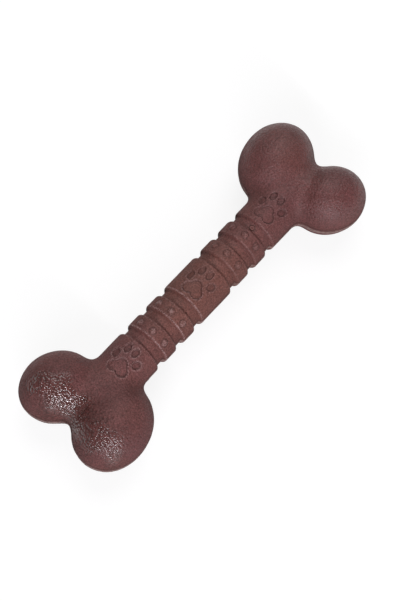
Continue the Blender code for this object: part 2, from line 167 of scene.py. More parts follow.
# Leathery pebbles round scattered points, one point in each cell
PEBBLE_SIZE = 1.3 * MM
PEBBLE_HEIGHT = 0.22 * MM
PEBBLE_CREASE = 0.30
PEBBLE_BORDER = 0.3
PEBBLE_LEAST = 0.12
CELL_HASH = np.array([[127.1, 269.5, 113.5], [311.7, 183.3, 271.9], [74.7, 246.1, 124.6]])
HASH_SPREAD = 43758.5453

# Darker patch on the -X knob, where the pebbles are boldest, and the glossy track in it
WET_CENTRE = (-84.5 * MM, -1.0 * MM)
WET_STRETCH = 0.42
WET_FULL = 7.0 * MM
WET_END = 15.5 * MM
EDGE_WAVE = 1.2 * MM
EDGE_WAVES = ((260.0, 340.0, 0.0, 0.0), (-130.0, 510.0, 0.0, 1.0))
GLOSS_PATH = (
    (-84.5 * MM, 17.0 * MM),
    (-80.0 * MM, 8.5 * MM),
    (-83.5 * MM, -4.0 * MM),
    (-87.0 * MM, -15.0 * MM),
    (-85.0 * MM, -21.5 * MM),
)
GLOSS_FULL = 3.5 * MM
GLOSS_END = 7.5 * MM
GLOSS_FADE = 0.5
GLOSS_FADE_WIDTH = 10.0 * MM

# What is marked on each point of the outer skin for the material
# The marks carry painted shade in creases and between pebbles, wear with a painted highlight, and painted
# bounce light along the parting line
MARKS = ("painted_shade", "between", "wet", "gloss", "wear_and_highlight", "trim_and_bounce")

# Width of the painted shade line at the foot of a moulded step, and its strength in the grooves
SHADE_LINE_WIDTH = 0.26 * MM
GROOVE_SHADE = 0.15

# Edges and crowns rubbed smooth and painted lighter as highlights, most of all on the -X half, which
# faces the lamps
WEAR_HIGHLIGHT_WIDTH = 0.30 * MM
WEAR_HIGHLIGHT_INSET = 0.35 * MM
WEAR_HIGHLIGHT_LEAST = 0.3
WEAR_HIGHLIGHT_AWAY = 0.35
WEAR_HIGHLIGHT_START = 5.0 * MM
WEAR_HIGHLIGHT_FULL = -8.0 * MM

# Mesh density
AROUND = 190
SHAFT_STEP = 0.24 * MM
NECK_DENSE_END = 62.0 * MM
KNOB_RINGS = 130
CORE_AROUND = 24
REAR_ANGLE = 110.0
FRONT_ANGLE = 45.0
LAST_ANGLE = 147.0
KNOB_REAR_ORIGIN = KNOB_PLACE - 1.7 * MM
KNOB_FRONT_ORIGIN = KNOB_PLACE - 9.2 * MM
RAY_LENGTH = 60.0 * MM
RAY_STEPS = 30
NORMAL_STEP = 0.05 * MM

# Camera, with half the picture's height and the focal length in pixels
CAMERA_TARGET = (-2.48 * MM, -4.17 * MM, 0.0)
CAMERA_DISTANCE = 761.8 * MM
CAMERA_ELEVATION = math.radians(69.448)
CAMERA_AZIMUTH = math.radians(-152.777)
CAMERA_ROLL = math.radians(14.785)
CAMERA_HALF_HEIGHT = 300.5
CAMERA_FOCUS = 1656.14
CAMERA_NEAREST = 10.0 * MM


# Shape of the bone as a signed distance: negative inside
def smooth_min(a, b, blend):
    overlap = np.maximum(blend - np.abs(a - b), 0.0) / blend
    return np.minimum(a, b) - overlap * overlap * blend * 0.25


def ellipsoid_distance(points, centre, radii, turn):
    x = points[..., 0] - centre[0]
    y = points[..., 1] - centre[1]
    along = x * math.cos(turn) + y * math.sin(turn)
    across = y * math.cos(turn) - x * math.sin(turn)
    local = np.stack([along, across, points[..., 2]], axis=-1)
    radii = np.asarray(radii)
    near = np.sqrt(((local / radii) ** 2).sum(axis=-1))
    slope = np.sqrt(((local / radii ** 2) ** 2).sum(axis=-1))
    return near * (near - 1.0) / np.maximum(slope, 1e-9)


def knob_distance(points, inset):
    """Both knobs; the second is the first turned half a turn about Z."""
    result = None
    for side in (1.0, -1.0):
        turned = points * np.array([side, side, 1.0])
        big = ellipsoid_distance(turned, BIG_CENTRE, np.array(BIG_RADII) - inset, BIG_TURN)
        small = ellipsoid_distance(turned, SMALL_CENTRE, np.array(SMALL_RADII) - inset, SMALL_TURN)
        knob = smooth_min(big, small, LOBE_BLEND)
        result = knob if result is None else np.minimum(result, knob)
    return result


def groove_cut(x):
    """Depth of the grooves at a place along the shaft."""
    cut = np.zeros_like(x)
    for place in GROOVE_POSITIONS:
        away = np.abs(np.abs(x) - place)
        rise = (GROOVE_HALF_WIDTH - away) / (GROOVE_HALF_WIDTH - GROOVE_FLAT_HALF)
        rise = np.clip(rise, 0.0, 1.0)
        cut = cut + GROOVE_DEPTH * (1.0 - np.sqrt(1.0 - rise * rise))
    return cut


def bone_distance(points, shaft_radius, inset, grooved):
    x = points[..., 0]
    radius = np.full_like(x, shaft_radius)
    if grooved:
        radius = radius - groove_cut(x)
    from_axis = np.hypot(points[..., 1], points[..., 2])
    nose = np.maximum(np.abs(x) - (SHAFT_NOSE - shaft_radius), 0.0)
    shaft = np.hypot(from_axis, nose) - radius
    return smooth_min(shaft, knob_distance(points, inset), NECK_BLEND)


def outer_skin(points):
    """The outer skin, softly flattened where the lobes rest on the floor."""
    skin = bone_distance(points, SHAFT_RADIUS, 0.0, True)
    return -smooth_min(-skin, points[..., 2] + FLAT_LEVEL, FLAT_SOFTNESS)


def core_skin(outward):
    """The hollow, grown outward by a distance."""
    return lambda points: bone_distance(points, CORE_RADIUS + outward, KNOB_WALL - outward, False)


def knob_origin(angle):
    share = (angle - FRONT_ANGLE) / (REAR_ANGLE - FRONT_ANGLE)
    share = min(max(share, 0.0), 1.0)
    return KNOB_FRONT_ORIGIN + (KNOB_REAR_ORIGIN - KNOB_FRONT_ORIGIN) * share


def stations():
    """Ray origins on the axis and ray angles from +X, from the +X end to the -X end.

    Rays stand square to the shaft, lean back along the neck and then fan out round the knob.
    """
    lean = math.radians(LAST_ANGLE) - math.pi / 2.0
    neck_start = KNOB_REAR_ORIGIN - SHAFT_RADIUS * math.tan(lean)
    half = [(place, math.pi / 2.0) for place in np.arange(0.0, SHAFT_END, SHAFT_STEP)[1:]]
    for place in np.arange(SHAFT_END, neck_start, SHAFT_STEP):
        share = (place - SHAFT_END) / (neck_start - SHAFT_END)
        half.append((place + SHAFT_RADIUS * math.tan(lean * share), math.pi / 2.0 + lean * share))
    for place in np.arange(neck_start, NECK_DENSE_END, SHAFT_STEP):
        back = math.atan((KNOB_REAR_ORIGIN - place) / SHAFT_RADIUS)
        half.append((KNOB_REAR_ORIGIN, math.pi / 2.0 + back))
    fan = np.linspace(math.degrees(half[-1][1]), 0.0, KNOB_RINGS + 1)[1:]
    half += [(knob_origin(angle), math.radians(angle)) for angle in fan]
    back_half = [(-origin, math.pi - angle) for origin, angle in half]
    return half[::-1] + [(0.0, math.pi / 2.0)] + back_half


def cast(skin, origins, directions):
    low = np.zeros(len(origins))
    high = np.full(len(origins), RAY_LENGTH)
    for _ in range(RAY_STEPS):
        middle = (low + high) / 2.0
        inside = skin(origins + directions * middle[:, None]) < 0.0
        low = np.where(inside, middle, low)
        high = np.where(inside, high, middle)
    return origins + directions * low[:, None]


def half_grid(skin, rings, count, side):
    """Points of a half skin: rows along the bone, columns from +Y over the crest to -Y."""
    turns = np.linspace(0.0, math.pi, count + 1)
    level = side * SEAM_HALF_GAP
    origin_x = np.array([ring[0] for ring in rings])
    angle = np.array([ring[1] for ring in rings])
    shape = (len(rings), count + 1)
    directions = np.zeros(shape + (3,))
    directions[..., 0] = np.cos(angle)[:, None]
    directions[..., 1] = np.sin(angle)[:, None] * np.cos(turns)[None, :]
    directions[..., 2] = side * np.sin(angle)[:, None] * np.sin(turns)[None, :]
    origins = np.zeros(shape + (3,))
    origins[..., 0] = origin_x[:, None]
    origins[..., 2] = level
    points = cast(skin, origins.reshape(-1, 3), directions.reshape(-1, 3))
    points = points.reshape(shape + (3,))
    points[:, 0, 2] = level
    points[:, -1, 2] = level
    return points


def skin_normals(skin, points):
    normals = np.zeros_like(points)
    for axis in range(3):
        step = np.zeros(3)
        step[axis] = NORMAL_STEP
        normals[..., axis] = skin(points + step) - skin(points - step)
    length = np.sqrt((normals ** 2).sum(axis=-1, keepdims=True))
    return normals / np.maximum(length, 1e-12)


def smooth_step(value):
    value = np.clip(value, 0.0, 1.0)
    return value * value * (3.0 - 2.0 * value)


# Profile of each painted shade line
def shade_line(away):
    """One on a line and fading to nothing beside it."""
    return np.exp(-(away / SHADE_LINE_WIDTH) ** 2)


def nubs(along, angle):
    """Height of the nubs, the painted shade round each, and the wear on each top that is also painted
    lighter as a highlight.
    """
    height = np.zeros_like(along)
    painted_shade = np.zeros_like(along)
    crown_wear_highlight = np.zeros_like(along)
    for ring_x in NUB_RINGS:
        for degrees in NUB_ANGLES:
            away = np.hypot(along - ring_x, (angle - math.radians(degrees)) * SHAFT_RADIUS)
            inside = np.clip(1.0 - (away / NUB_RADIUS) ** 2, 0.0, 1.0)
            height += NUB_HEIGHT * inside ** NUB_CROWN
            moat = (away - NUB_RADIUS - NUB_MOAT_WIDTH / 2.0) / NUB_MOAT_WIDTH
            height -= NUB_MOAT * np.exp(-moat * moat)
            painted_shade = np.maximum(painted_shade, NUB_SHADE * shade_line(away - NUB_RADIUS))
            top = smooth_step((1.0 - away / NUB_RADIUS) / NUB_WEAR_HIGHLIGHT_EDGE)
            crown_wear_highlight = np.maximum(crown_wear_highlight, NUB_WEAR_HIGHLIGHT * top)
    return height, painted_shade, crown_wear_highlight


def paw_distance(along, across):
    """Signed distances in plan to the outlines of one paw print's pad and toes, negative inside."""
    pad = None
    for x, y, radius in PAD_CIRCLES:
        circle = np.hypot(along - x, across - y) - radius
        pad = circle if pad is None else smooth_min(pad, circle, PAD_BLEND)
    toes = None
    for place, out, tilt in TOE_PLACES:
        lean = math.radians(tilt)
        x = along - place
        y = across - out
        u = (x * math.cos(lean) + y * math.sin(lean)) / (TOE_LENGTH / 2.0)
        v = (y * math.cos(lean) - x * math.sin(lean)) / (TOE_WIDTH / 2.0)
        toe = (np.hypot(u, v) - 1.0) * TOE_WIDTH / 2.0
        toes = toe if toes is None else np.minimum(toes, toe)
    return pad, toes


def paws(along, across):
    """Depth of the paw prints, painted shade at the foot of their walls and inside the toes, and the wear
    on the lip round each that is also painted lighter as a highlight.
    """
    height = np.zeros_like(along)
    painted_shade = np.zeros_like(along)
    lip_wear_highlight = np.zeros_like(along)
    for position in PAW_POSITIONS:
        pad, toes = paw_distance(along - position, across)
        away = np.minimum(pad, toes)
        height -= PAW_DEPTH * smooth_step(0.5 - away / PAW_EDGE)
        lip = np.exp(-((away - PAW_EDGE) / PAW_EDGE) ** 2)
        height += PAW_LIP * lip
        lip_wear_highlight = np.maximum(lip_wear_highlight, PAW_LIP_WEAR_HIGHLIGHT * lip)
        painted_shade = np.maximum(painted_shade, shade_line(away + PAW_EDGE / 2.0))
        painted_shade = np.maximum(painted_shade, TOE_SHADE * smooth_step(-toes / TOE_SHADE_EDGE))
    return height, painted_shade, lip_wear_highlight


def groove_feet(along):
    """Painted shade at the foot of each groove wall."""
    painted_shade = np.zeros_like(along)
    for place in GROOVE_POSITIONS:
        away = np.abs(np.abs(along) - place) - GROOVE_FLAT_HALF
        painted_shade = np.maximum(painted_shade, GROOVE_SHADE * shade_line(away))
    return painted_shade


def edge_wear_highlights(along):
    """Wear with a painted highlight: one on the groove shoulders that face the -X knob and the lamps, and
    less on the others.
    """
    edge = np.zeros_like(along)
    for place in GROOVE_POSITIONS:
        for centre in (-place, place):
            for facing, share in ((1.0, 1.0), (-1.0, WEAR_HIGHLIGHT_AWAY)):
                away = along - centre - facing * (GROOVE_HALF_WIDTH - WEAR_HIGHLIGHT_INSET)
                edge = np.maximum(edge, share * np.exp(-(away / WEAR_HIGHLIGHT_WIDTH) ** 2))
    return edge


def vent_rim(along, angle):
    """Height of the raised rim round the vent and the painted shade ring inside it."""
    away = np.hypot(along - VENT_X, angle * (SHAFT_RADIUS - GROOVE_DEPTH))
    rim = (away - VENT_RIM_RADIUS) / VENT_RIM_WIDTH
    return VENT_RIM_HEIGHT * np.exp(-rim * rim), shade_line(away - VENT_RING_RADIUS)


def wave(points, numbers):
    """A sine wave from its radians per metre along X, Y and Z and its start."""
    along_x, along_y, along_z, start = numbers
    return np.sin(points[..., 0] * along_x + points[..., 1] * along_y + points[..., 2] * along_z + start)


def lumps(points):
    """Slow unevenness of the moulded rubber."""
    total = sum(wave(points, numbers) for numbers in LUMP_WAVES)
    total = total + LUMP_RIPPLE * wave(points, LUMP_RIPPLES[0]) * wave(points, LUMP_RIPPLES[1])
    return LUMP_HEIGHT * total / len(LUMP_WAVES)


def scatter_distances(points):
    """Distances to the nearest and second nearest of scattered points, one in each unit cube."""
    cell = np.floor(points)
    nearest = np.full(points.shape[:-1], np.inf)
    second = nearest.copy()
    for shift in itertools.product((-1.0, 0.0, 1.0), repeat=3):
        corner = cell + np.array(shift)
        scatter = np.sin(corner @ CELL_HASH) * HASH_SPREAD
        seed = corner + scatter - np.floor(scatter)
        away = np.sqrt(((seed - points) ** 2).sum(axis=-1))
        second = np.minimum(second, np.maximum(nearest, away))
        nearest = np.minimum(nearest, away)
    return nearest, second


def path_distance(x, y, path):
    """Distance in plan to a path of straight runs."""
    nearest = np.full(x.shape, np.inf)
    for start, end in zip(path, path[1:]):
        run_x = end[0] - start[0]
        run_y = end[1] - start[1]
        share = ((x - start[0]) * run_x + (y - start[1]) * run_y) / (run_x ** 2 + run_y ** 2)
        share = np.clip(share, 0.0, 1.0)
        away = np.hypot(x - start[0] - share * run_x, y - start[1] - share * run_y)
        nearest = np.minimum(nearest, away)
    return nearest


def polish(points):
    """How dark and how glossy the -X knob is: a broad darker patch with a narrow glossy track in it."""
    x, y = points[..., 0], points[..., 1]
    edge = EDGE_WAVE * sum(wave(points, numbers) for numbers in EDGE_WAVES)
    away = np.hypot(x - WET_CENTRE[0], (y - WET_CENTRE[1]) * WET_STRETCH) + edge
    wet = 1.0 - smooth_step((away - WET_FULL) / (WET_END - WET_FULL))
    track = path_distance(x, y, GLOSS_PATH) + edge
    gloss = 1.0 - smooth_step((track - GLOSS_FULL) / (GLOSS_END - GLOSS_FULL))
    return wet, gloss * (1.0 - GLOSS_FADE * smooth_step(-y / GLOSS_FADE_WIDTH))


def pebbles(points, share):
    """Leathery pebbles: a cell pattern of low domes with creases between them, and how much painted shade
    falls in those creases.
    """
    nearest, second = scatter_distances(points / PEBBLE_SIZE)
    border = smooth_step((second - nearest) / PEBBLE_CREASE)
    dome = 1.0 - nearest * nearest
    strength = PEBBLE_LEAST + (1.0 - PEBBLE_LEAST) * share
    return PEBBLE_HEIGHT * (dome + PEBBLE_BORDER * border) * strength, (1.0 - border) * strength


def seam_height(points):
    """A trimmed ridge beside the parting line, rounded at the gap, with a ragged bit of flash."""
    away = np.abs(points[..., 2]) - SEAM_HALF_GAP
    uneven = SEAM_EVEN + sum(share * wave(points, numbers) for share, numbers in SEAM_WAVES)
    beside = np.hypot(points[..., 0] - FLASH_PLACE[0], points[..., 1] - FLASH_PLACE[1]) / FLASH_WIDTH
    ripple = wave(points, FLASH_WAVES[0]) * wave(points, FLASH_WAVES[1])
    ragged = 1.0 - FLASH_RAGGED + FLASH_RAGGED * ripple
    height = SEAM_RIDGE * uneven + FLASH_HEIGHT * ragged * np.exp(-beside ** 4)
    ridge = height * np.exp(-(away / SEAM_RIDGE_WIDTH) ** 2)
    return ridge - (SEAM_RIDGE + SEAM_ROUND) * np.exp(-(away / SEAM_ROUND_WIDTH) ** 2)


def trim_bounce_band(points):
    """The band along the parting line, ground smooth and painted lighter as bounce light from the floor,
    and the painted shade line above it.
    """
    level = points[..., 2]
    above = smooth_step((level - TRIM_BOUNCE_LOW) / TRIM_BOUNCE_SOFTNESS)
    below = smooth_step((TRIM_BOUNCE_HIGH - level) / TRIM_BOUNCE_SOFTNESS)
    return above * below, np.exp(-((level - SEAM_SHADE_LEVEL) / SEAM_SHADE_WIDTH) ** 2)


def dress(points, side):
    """Moves the outer skin along its normals by all that is moulded on it.

    Also gives, for each point, the painted shade of creases and between pebbles, how wet and how glossy
    it is, its wear with a painted highlight, and the painted bounce light of the smooth-ground band along
    the parting line.
    """
    normals = skin_normals(outer_skin, points)
    along = points[..., 0]
    across = side * points[..., 1]
    angle = np.arctan2(across, side * points[..., 2])
    height, painted_shade, crown_wear_highlight = nubs(along, angle)
    paw, paw_shade, lip_wear_highlight = paws(along, across)
    trim_and_bounce, seam_shade_line = trim_bounce_band(points)
    wet, gloss = polish(points)
    pebble, between = pebbles(points, wet)
    height = height + paw + pebble + seam_height(points) + lumps(points)
    # Painted shade at nubs, paws, toes, groove feet, the vent and above the parting line
    painted_shade = np.maximum.reduce([painted_shade, paw_shade, groove_feet(along), seam_shade_line])
    if side > 0.0:
        rim, rim_shade = vent_rim(along, angle)
        height = height + rim
        painted_shade = np.maximum(painted_shade, rim_shade)
    flat = smooth_step((points[..., 2] + FLAT_LEVEL) / FLAT_SOFTNESS)
    moved = points + normals * (height * flat)[..., None]
    for edge in (0, -1):
        moved[:, edge, 2] = points[:, edge, 2]
    # Wear with a painted highlight, strongest on the -X half, which faces the lamps
    wear_highlight_side = smooth_step((WEAR_HIGHLIGHT_START - along) / (WEAR_HIGHLIGHT_START - WEAR_HIGHLIGHT_FULL))
    wear_and_highlight = np.maximum.reduce([edge_wear_highlights(along), crown_wear_highlight, lip_wear_highlight])
    wear_and_highlight = wear_and_highlight * (WEAR_HIGHLIGHT_LEAST + (1.0 - WEAR_HIGHLIGHT_LEAST) * wear_highlight_side)
    marks = (painted_shade, between, wet, gloss, wear_and_highlight, trim_and_bounce)
    return moved, dict(zip(MARKS, marks))


def rim_columns(rings, side):
    """Points along one edge's rim from the outer skin to the hollow, with the tongue or its slot."""
    gap = 0.0 if side > 0.0 else FIT_GAP
    tip = SEAM_HALF_GAP - TONGUE_HEIGHT - gap
    outside = TONGUE_INSIDE + TONGUE_WIDTH + gap
    inside = TONGUE_INSIDE - gap
    level = side * SEAM_HALF_GAP
    columns = []
    for outward, height in ((outside, level), (outside, tip), (inside, tip), (inside, level)):
        grid = half_grid(core_skin(outward), rings, 1, side)
        grid[..., 2] = height
        columns.append(grid)
    return columns


def half_shell(name, side):
    """A closed half shell: dressed outer skin, plain hollow and the jointed rim between them."""
    rings = stations()
    outer, marks = dress(half_grid(outer_skin, rings, AROUND, side), side)
    inner = half_grid(core_skin(0.0), rings, CORE_AROUND, side)
    rim = rim_columns(rings, side)
    rows = len(rings)
    vertices = []

    def keep(columns):
        """Adds a grid of points whose first and last rows are single points."""
        table = np.zeros(columns.shape[:2], dtype=int)
        for row in range(rows):
            single = row in (0, rows - 1)
            start = len(vertices)
            vertices.extend(columns[row, :1] if single else columns[row])
            table[row, :] = start if single else np.arange(start, len(vertices))
        return table

    outer_table = keep(outer)
    inner_table = keep(inner)
    rim_tables = [keep(column) for column in rim]
    bands = [(outer_table[:, k], outer_table[:, k + 1]) for k in range(AROUND)]
    bands += [(inner_table[:, k + 1], inner_table[:, k]) for k in range(CORE_AROUND)]
    smooth_bands = len(bands)
    for edge in (0, -1):
        chain = [outer_table[:, edge]] + [table[:, edge] for table in rim_tables] + [inner_table[:, edge]]
        for a, b in zip(chain, chain[1:]):
            bands.append((b, a) if edge == 0 else (a, b))
    faces = []
    smooth = []
    for band, (a, b) in enumerate(bands):
        for row in range(rows - 1):
            face = list(dict.fromkeys((int(a[row]), int(a[row + 1]), int(b[row + 1]), int(b[row]))))
            if len(face) > 2:
                faces.append(face)
                smooth.append(band < smooth_bands)
    mesh = bpy.data.meshes.new(name)
    mesh.from_pydata([tuple(v) for v in vertices], [], faces)
    mesh.polygons.foreach_set("use_smooth", smooth)
    for label, grid in marks.items():
        values = np.zeros(len(vertices), dtype=np.float32)
        values[outer_table.ravel()] = grid.ravel()
        mesh.attributes.new(label, "FLOAT", "POINT").data.foreach_set("value", values)
    mesh.transform(Matrix.Translation((0.0, 0.0, FLAT_LEVEL)))
    item = bpy.data.objects.new(name, mesh)
    bpy.context.scene.collection.objects.link(item)
    return item


def drill(item, radius, bottom):
    """Cuts a round hole at the vent from a level up through the outer skin."""
    shape = bmesh.new()
    depth = VENT_HOLE_TOP - bottom
    bmesh.ops.create_cone(
        shape, cap_ends=True, segments=DRILL_SIDES, radius1=radius, radius2=radius, depth=depth)
    middle = FLAT_LEVEL + (VENT_HOLE_TOP + bottom) / 2.0
    bmesh.ops.translate(shape, vec=(VENT_X, 0.0, middle), verts=shape.verts)
    mesh = bpy.data.meshes.new("vent_drill")
    shape.to_mesh(mesh)
    shape.free()
    tool = bpy.data.objects.new("vent_drill", mesh)
    bpy.context.scene.collection.objects.link(tool)
    modifier = item.modifiers.new("vent", "BOOLEAN")
    modifier.operation = "DIFFERENCE"
    modifier.solver = "EXACT"
    modifier.object = tool
    graph = bpy.context.evaluated_depsgraph_get()
    cut = bpy.data.meshes.new_from_object(item.evaluated_get(graph))
    item.modifiers.clear()
    item.data = cut
    bpy.data.objects.remove(tool, do_unlink=True)


# Colours of the rubber and how strongly each mark shows in them
RUBBER_ROSY = (0.150, 0.053, 0.052)
RUBBER_BROWN = (0.174, 0.066, 0.052)
RUBBER_WET = (0.124, 0.042, 0.036)
# Painted shade for creases, between pebbles and between grain domes
RUBBER_SHADE = (0.050, 0.018, 0.015)
# Painted highlight, with wear, on edges, nub tops and paw lips
RUBBER_RUB_HIGHLIGHT = (0.380, 0.240, 0.230)
# Painted bounce light on the band along the parting line
RUBBER_TRIM_BOUNCE = (0.360, 0.265, 0.240)
PATCH_COLOURS = (
    (0.30, (0.86, 0.85, 0.83)),
    (0.50, (1.0, 1.0, 1.0)),
    (0.72, (1.12, 1.13, 1.14)),
)
SPECKLE_COLOURS = (
    (0.35, (0.62, 0.60, 0.59)),
    (0.65, (1.30, 1.30, 1.30)),
)
WET_SHARE = 0.5
# Strengths of the painted shade in creases and between pebbles
SHADE_SHARE = 0.55
BETWEEN_SHADE_SHARE = 0.25
# Strength of the painted highlight on worn places
RUB_HIGHLIGHT_SHARE = 0.85

# Roughness of the rubber
ROUGH_SIDES = 0.85
ROUGH_DULL = 0.58
ROUGH_SHEEN = 0.40
ROUGH_POLISHED = 0.17
ROUGH_RUBBED = 0.3
COAT_WEIGHT = 0.9
COAT_ROUGH = 0.12
SPECULAR = 0.4

# Fine grain of the rubber
GRAIN_SIZE = 1.15 * MM
GRAIN_DEPTH = 0.16 * MM
FINE_DEPTH = 0.03 * MM

# Noise in the rubber: how many clouds to a metre, how detailed and how rough
BROWN_CLOUDS = (45.0, 3.0, 0.5)
PATCH_CLOUDS = (95.0, 5.0, 0.6)
SPECKLE_CLOUDS = (1500.0, 3.0, 0.6)
CHIP_CLOUDS = (1500.0, 2.0, 0.5)
# Patchiness of the painted bounce light along the parting line
TRIM_BOUNCE_CLOUDS = (260.0, 4.0, 0.6)
MOTTLE_CLOUDS = (700.0, 4.0, 0.6)
GRAIN_CLOUDS = (1300.0, 3.0, 0.6)

# Spans of values and what their two ends become
BROWN_SPAN = (8.0 * MM, 50.0 * MM, 0.6, -0.3)
# Painted shade between grain domes on the wet patch
GAP_SHADE_SPAN = (0.40, 0.70, 0.0, 0.6)
# Patchy strength of the painted bounce light along the parting line
TRIM_BOUNCE_SPAN = (0.36, 0.56, 0.25, 0.72)
CHIP_SPAN = (0.42, 0.60, 0.0, 1.0)
HANDLED_SPAN = (18.0 * MM, 26.5 * MM, 0.0, 1.0)
SHEEN_SPAN = (50.0 * MM, 66.0 * MM, ROUGH_DULL, ROUGH_SHEEN)
POLISH_SPAN = (0.1, 0.6, 0.0, 1.0)
MOTTLE_SPAN = (0.3, 0.7, -0.08, 0.08)
KNOB_GRAIN_SPAN = (40.0 * MM, 62.0 * MM, 1.0, 1.3)
WET_GRAIN_SPAN = (0.0, 1.0, 1.2, 1.7)
WET_CLOUD_SPAN = (0.0, 1.0, 1.0, 0.1)

# Plastics of the squeaker: colour and roughness
PLASTICS = {
    "squeaker_barrel": ((0.185, 0.072, 0.062), 0.75),
    "squeaker_reed_seat": ((0.62, 0.66, 0.70), 0.42),
    "squeaker_reed": ((0.86, 0.78, 0.55), 0.30),
    "squeaker_end_cap": ((0.74, 0.73, 0.68), 0.45),
}
PLASTIC_FLOW = (350.0, 3.0, 0.5)
PLASTIC_STOPS = (0.35, 0.65)
PLASTIC_ENDS = (0.3, 0.7)
PLASTIC_DARKER = 0.86
PLASTIC_UNEVEN = 0.06
PLASTIC_TEXTURE = (4000.0, 2.0, 0.5)
PLASTIC_DEPTH = 0.02 * MM
PLASTIC_RELIEF = 0.4


# Steps that the materials are made of
def new_material(name):
    material = bpy.data.materials.new(name)
    material.use_nodes = True
    tree = material.node_tree
    return material, tree, tree.nodes["Principled BSDF"]


def link(tree, source, target):
    tree.links.new(source, target)


def feed(tree, socket, value):
    """Sets a socket to a number or a colour, or links another node to it."""
    if isinstance(value, float):
        socket.default_value = value
    elif isinstance(value, tuple):
        socket.default_value = (*value, 1.0)
    else:
        link(tree, value, socket)


def clouds(tree, coordinates, scale, detail, roughness):
    node = tree.nodes.new("ShaderNodeTexNoise")
    node.inputs["Scale"].default_value = scale
    node.inputs["Detail"].default_value = detail
    node.inputs["Roughness"].default_value = roughness
    link(tree, coordinates, node.inputs["Vector"])
    return node.outputs["Fac"]


def cells(tree, coordinates, scale):
    """Distance to the nearest of scattered points."""
    node = tree.nodes.new("ShaderNodeTexVoronoi")
    node.feature = "F1"
    node.inputs["Scale"].default_value = scale
    link(tree, coordinates, node.inputs["Vector"])
    return node.outputs["Distance"]


def ramp(tree, value, stops):
    node = tree.nodes.new("ShaderNodeValToRGB")
    elements = node.color_ramp.elements
    while len(elements) < len(stops):
        elements.new(0.5)
    for element, (place, colour) in zip(elements, stops):
        element.position = place
        element.color = (*colour, 1.0)
    link(tree, value, node.inputs["Fac"])
    return node.outputs["Color"]


def span(tree, value, low, high, out_low, out_high):
    node = tree.nodes.new("ShaderNodeMapRange")
    node.inputs["From Min"].default_value = low
    node.inputs["From Max"].default_value = high
    node.inputs["To Min"].default_value = out_low
    node.inputs["To Max"].default_value = out_high
    link(tree, value, node.inputs["Value"])
    return node.outputs["Result"]


def maths(tree, operation, a, b):
    node = tree.nodes.new("ShaderNodeMath")
    node.operation = operation
    feed(tree, node.inputs[0], a)
    feed(tree, node.inputs[1], b)
    return node.outputs["Value"]


def times(tree, a, b):
    return maths(tree, "MULTIPLY", a, b)


def bump(tree, height, distance, strength=1.0, below=None):
    node = tree.nodes.new("ShaderNodeBump")
    node.inputs["Distance"].default_value = distance
    node.inputs["Strength"].default_value = strength
    link(tree, height, node.inputs["Height"])
    if below is not None:
        link(tree, below, node.inputs["Normal"])
    return node.outputs["Normal"]


def mix_colour(tree, factor, a, b, blend="MIX"):
    node = tree.nodes.new("ShaderNodeMix")
    node.data_type = "RGBA"
    node.blend_type = blend
    feed(tree, node.inputs["Factor"], factor)
    feed(tree, node.inputs[6], a)
    feed(tree, node.inputs[7], b)
    return node.outputs[2]


def mix_value(tree, factor, a, b):
    node = tree.nodes.new("ShaderNodeMix")
    feed(tree, node.inputs["Factor"], factor)
    feed(tree, node.inputs["A"], a)
    feed(tree, node.inputs["B"], b)
    return node.outputs["Result"]


def attribute(tree, name):
    node = tree.nodes.new("ShaderNodeAttribute")
    node.attribute_name = name
    return node.outputs["Fac"]


# Rubber
def rubber_colour(tree, place, from_middle, marks, speckle, cell, rub_and_highlight):
    """Red brown, browner in the middle, patchy and speckled, with painted shade in creases, between
    pebbles and between grain domes, painted bounce light on the band along the parting line, and edges
    lightened by wear and as painted highlights.
    """
    brown = maths(tree, "ADD", span(tree, from_middle, *BROWN_SPAN), clouds(tree, place, *BROWN_CLOUDS))
    colour = mix_colour(tree, brown, RUBBER_ROSY, RUBBER_BROWN)
    colour = mix_colour(tree, times(tree, marks["wet"], WET_SHARE), colour, RUBBER_WET)
    patches = ramp(tree, clouds(tree, place, *PATCH_CLOUDS), PATCH_COLOURS)
    colour = mix_colour(tree, 1.0, colour, patches, "MULTIPLY")
    colour = mix_colour(tree, 1.0, colour, ramp(tree, speckle, SPECKLE_COLOURS), "MULTIPLY")
    # Painted shade between grain domes on the wet patch
    gap_shade = times(tree, span(tree, cell, *GAP_SHADE_SPAN), marks["wet"])
    # Painted bounce light along the parting line, patchy
    trim_bounce = span(tree, clouds(tree, place, *TRIM_BOUNCE_CLOUDS), *TRIM_BOUNCE_SPAN)
    # Painted shade, painted bounce light and painted highlight laid over the colour
    for share, over in (
        (times(tree, marks["painted_shade"], SHADE_SHARE), RUBBER_SHADE),
        (times(tree, marks["between"], BETWEEN_SHADE_SHARE), RUBBER_SHADE),
        (gap_shade, RUBBER_SHADE),
        (times(tree, marks["trim_and_bounce"], trim_bounce), RUBBER_TRIM_BOUNCE),
        (times(tree, rub_and_highlight, RUB_HIGHLIGHT_SHARE), RUBBER_RUB_HIGHLIGHT),
    ):
        colour = mix_colour(tree, share, colour, over)
    return colour


def rubber_roughness(tree, place, along, handled, glossy, rub_and_highlight):
    """Dull on the sides, a sheen on top of the +X knob, polished on the glossy track."""
    dull = mix_value(tree, handled, ROUGH_SIDES, span(tree, along, *SHEEN_SPAN))
    base = mix_value(tree, span(tree, glossy, *POLISH_SPAN), dull, ROUGH_POLISHED)
    mottle = span(tree, clouds(tree, place, *MOTTLE_CLOUDS), *MOTTLE_SPAN)
    uneven = maths(tree, "ADD", base, mottle)
    return maths(tree, "ADD", uneven, times(tree, rub_and_highlight, -ROUGH_RUBBED))


